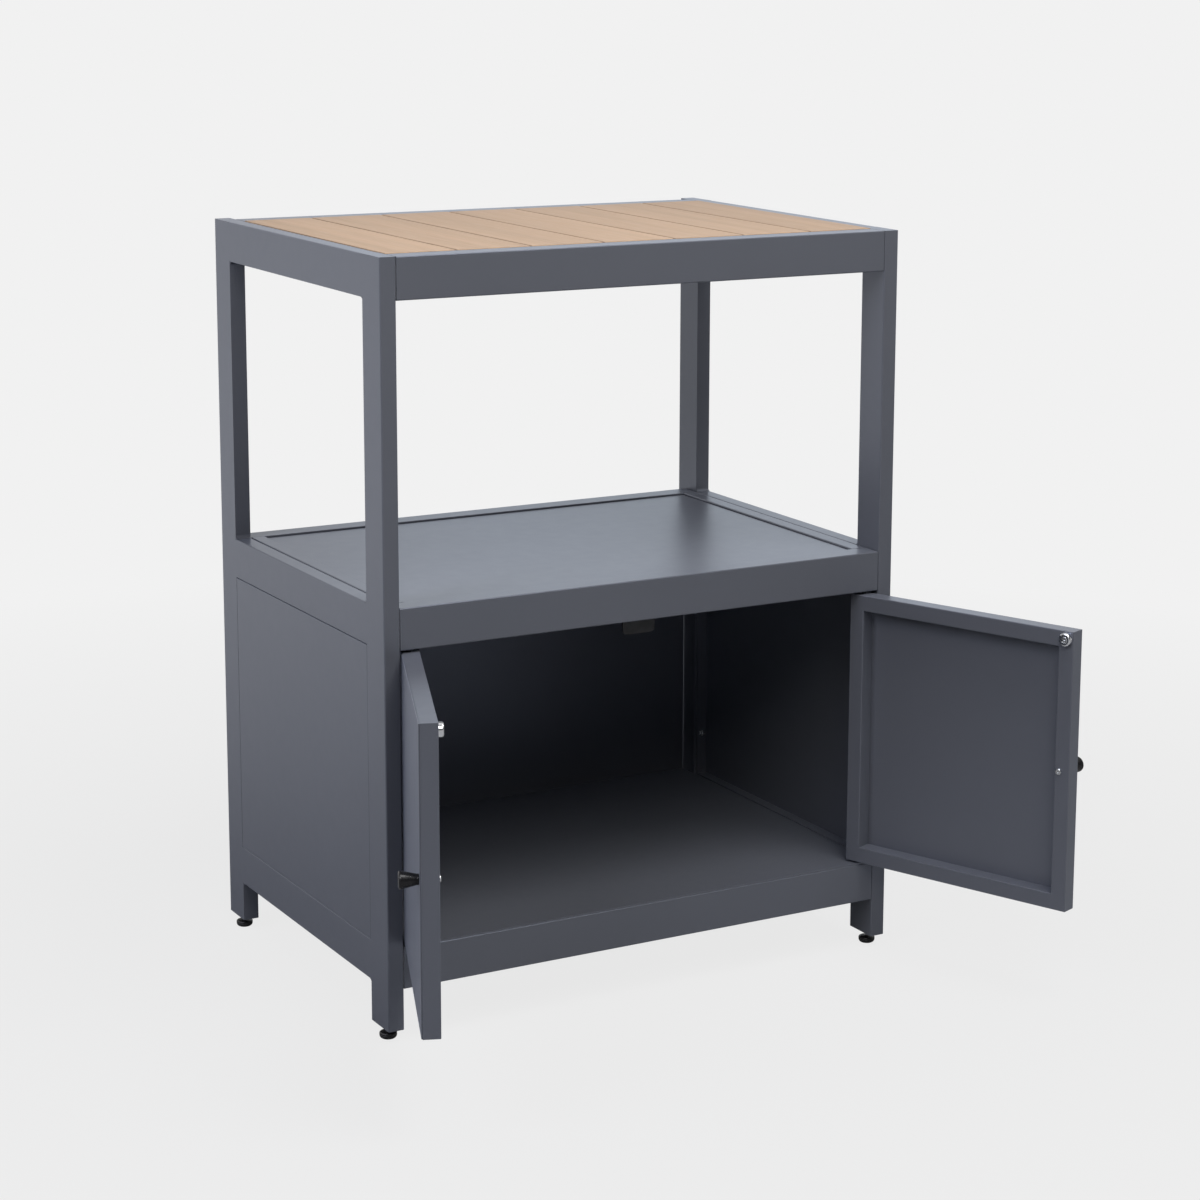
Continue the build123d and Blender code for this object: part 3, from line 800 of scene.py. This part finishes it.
class CabinetSetStudio(bpy.types.Operator):
    """Sets the floor, the background, the lamps and the camera"""

    bl_idname = "cabinet.set_studio"
    bl_label = "Set the studio"

    def execute(self, context):
        scene = context.scene
        chosen = scene.cabinet_studio
        self.make_floor(scene, chosen)
        self.make_background(scene, chosen)
        self.make_lamps(scene, chosen)
        self.make_camera(scene, chosen)
        scene.view_settings.view_transform = "Standard"
        return {"FINISHED"}

    def seen_rays(self, tree):
        """One where a ray comes from the camera, and one where it is mirrored or comes through glass."""
        rays = tree.nodes.new("ShaderNodeLightPath").outputs
        mirrored = combine(tree, "ADD", rays["Is Glossy Ray"], rays["Is Transmission Ray"])
        return rays["Is Camera Ray"], mirrored

    def distance_from(self, tree, point):
        """Distance of a place on the floor from a point."""
        far = tree.nodes.new("ShaderNodeVectorMath")
        far.operation = "DISTANCE"
        far.inputs[1].default_value = point
        tree.links.new(own_place(tree), far.inputs[0])
        return far.outputs["Value"]

    def make_floor(self, scene, chosen):
        """Floor that fades into the background for the camera and is dim in front for reflections."""
        reach = 30
        cabinet_middle = (0, 0, 0)
        front_middle = (0.5, -2.5, 0)
        data = bpy.data.meshes.new("studio_floor")
        corners = [(-reach, -reach, 0), (reach, -reach, 0), (reach, reach, 0), (-reach, reach, 0)]
        data.from_pydata(corners, [], [(0, 1, 2, 3)])
        finish, tree, shader = new_finish("studio_floor")
        clouds = grain(tree, own_place(tree), scale=1.5)
        stops = [(0.3, shade(chosen.floor_colour, 0.99)), (0.7, shade(chosen.floor_colour, 1.01))]
        tree.links.new(tones(tree, clouds, stops), shader.inputs["Base Color"])
        shader.inputs["Roughness"].default_value = 0.9
        shader.inputs["Specular IOR Level"].default_value = 0.0
        glow = tree.nodes.new("ShaderNodeEmission")
        glow.inputs["Color"].default_value = (*chosen.background, 1)
        direct, mirrored = self.seen_rays(tree)
        near = self.distance_from(tree, cabinet_middle)
        fade = spread(tree, near, low=0.90, high=1.0, start=0.6, end=2.2)
        seen = combine(tree, "MULTIPLY", fade, direct)
        ahead = self.distance_from(tree, front_middle)
        dimmed = spread(tree, ahead, low=0.1, high=1.0, start=3.0, end=5.0)
        shown = combine(tree, "MULTIPLY", dimmed, mirrored)
        mix = tree.nodes.new("ShaderNodeMixShader")
        tree.links.new(combine(tree, "ADD", seen, shown), mix.inputs["Fac"])
        tree.links.new(shader.outputs["BSDF"], mix.inputs[1])
        tree.links.new(glow.outputs["Emission"], mix.inputs[2])
        output = next(node for node in tree.nodes if node.type == "OUTPUT_MATERIAL")
        tree.links.new(mix.outputs["Shader"], output.inputs["Surface"])
        data.materials.append(finish)
        floor = bpy.data.objects.new("studio_floor", data)
        scene.collection.objects.link(floor)

    def make_background(self, scene, chosen):
        """Even background for the camera, seen by reflections too and dimmer in front of the cabinet."""
        world = bpy.data.worlds.new("studio")
        world.use_nodes = True
        tree = world.node_tree
        tree.nodes.clear()
        output = tree.nodes.new("ShaderNodeOutputWorld")
        light = tree.nodes.new("ShaderNodeBackground")
        light.inputs["Color"].default_value = (1, 1, 1, 1)
        light.inputs["Strength"].default_value = chosen.ambient
        back = tree.nodes.new("ShaderNodeBackground")
        back.inputs["Color"].default_value = (*chosen.background, 1)
        mix = tree.nodes.new("ShaderNodeMixShader")
        direct, mirrored = self.seen_rays(tree)
        tree.links.new(combine(tree, "ADD", direct, mirrored), mix.inputs["Fac"])
        parts = tree.nodes.new("ShaderNodeSeparateXYZ")
        heading = tree.nodes.new("ShaderNodeTexCoord").outputs["Generated"]
        tree.links.new(heading, parts.inputs["Vector"])
        behind = spread(tree, parts.outputs["Y"], low=0.20, high=1.0, start=-0.5, end=0.2)
        tree.links.new(combine(tree, "MAXIMUM", behind, direct), back.inputs["Strength"])
        tree.links.new(light.outputs["Background"], mix.inputs[1])
        tree.links.new(back.outputs["Background"], mix.inputs[2])
        tree.links.new(mix.outputs["Shader"], output.inputs["Surface"])
        scene.world = world

    def make_lamps(self, scene, chosen):
        """Soft lamps at the left, high over the front and at the left in front, and a weak one behind."""
        lamps = (
            ("left_lamp", LEFT_LAMP, chosen.left_power),
            ("top_lamp", TOP_LAMP, chosen.top_power),
            ("fill_lamp", FILL_LAMP, chosen.fill_power),
            ("rear_lamp", REAR_LAMP, chosen.rear_power),
        )
        for name, kind, power in lamps:
            data = bpy.data.lights.new(name, "AREA")
            data.shape = "DISK"
            data.size = kind["width"]
            data.energy = power
            data.color = kind["tint"]
            lamp = bpy.data.objects.new(name, data)
            place = Vector(kind["place"])
            turn = (LAMP_AIM - place).to_track_quat("-Z", "Y").to_matrix().to_4x4()
            lamp.matrix_world = Matrix.Translation(place) @ turn
            scene.collection.objects.link(lamp)

    def make_camera(self, scene, chosen):
        """Camera at the photograph's viewing angle."""
        turn = chosen.camera_turn
        tilt = chosen.camera_tilt
        lean = chosen.camera_roll
        level = Vector((math.sin(turn), math.cos(turn), 0))
        ahead = level * math.cos(tilt) - UP * math.sin(tilt)
        right = Vector((math.cos(turn), -math.sin(turn), 0))
        above = right.cross(ahead)
        across = right * math.cos(lean) + above * math.sin(lean)
        over = above * math.cos(lean) - right * math.sin(lean)
        data = bpy.data.cameras.new("camera")
        data.sensor_width = SENSOR_WIDTH
        data.lens = chosen.camera_lens
        data.shift_x, data.shift_y = chosen.camera_shift
        camera = bpy.data.objects.new("camera", data)
        turned = Matrix((across, over, -ahead)).transposed().to_4x4()
        camera.matrix_world = Matrix.Translation(chosen.camera_place) @ turned
        scene.collection.objects.link(camera)
        scene.camera = camera


class CabinetPanel(bpy.types.Panel):
    """Lists the steps of dressing the cabinet"""

    bl_idname = "VIEW3D_PT_cabinet"
    bl_label = "Cabinet"
    bl_space_type = "VIEW_3D"
    bl_region_type = "UI"
    bl_category = "Cabinet"

    def draw(self, context):
        scene = context.scene
        for step in STEPS:
            self.layout.operator(step.bl_idname)
        for group in (scene.cabinet_finishes, scene.cabinet_turnings, scene.cabinet_studio):
            for name in group.__annotations__:
                self.layout.prop(group, name)


GROUPS = (CabinetFinishes, CabinetTurnings, CabinetStudio)
STEPS = (
    CabinetCoatFrame,
    CabinetCoatDoors,
    CabinetOilSlats,
    CabinetTurnKnobs,
    CabinetFinishCatches,
    CabinetMouldPads,
    CabinetCutStems,
    CabinetFinishFasteners,
    CabinetSetStudio,
)


def register():
    for kind in GROUPS + STEPS + (CabinetPanel,):
        bpy.utils.register_class(kind)
    bpy.types.Scene.cabinet_finishes = PointerProperty(type=CabinetFinishes)
    bpy.types.Scene.cabinet_turnings = PointerProperty(type=CabinetTurnings)
    bpy.types.Scene.cabinet_studio = PointerProperty(type=CabinetStudio)


def unregister():
    del bpy.types.Scene.cabinet_studio
    del bpy.types.Scene.cabinet_turnings
    del bpy.types.Scene.cabinet_finishes
    for kind in reversed(GROUPS + STEPS + (CabinetPanel,)):
        bpy.utils.unregister_class(kind)


def main():
    """Dresses the cabinet and sets the studio round it."""
    register()
    bpy.ops.cabinet.coat_frame()
    bpy.ops.cabinet.coat_doors()
    bpy.ops.cabinet.oil_slats()
    bpy.ops.cabinet.turn_knobs()
    bpy.ops.cabinet.finish_catches()
    bpy.ops.cabinet.mould_pads()
    bpy.ops.cabinet.cut_stems()
    bpy.ops.cabinet.finish_fasteners()
    bpy.ops.cabinet.set_studio()


if __name__ == "__main__":
    main()
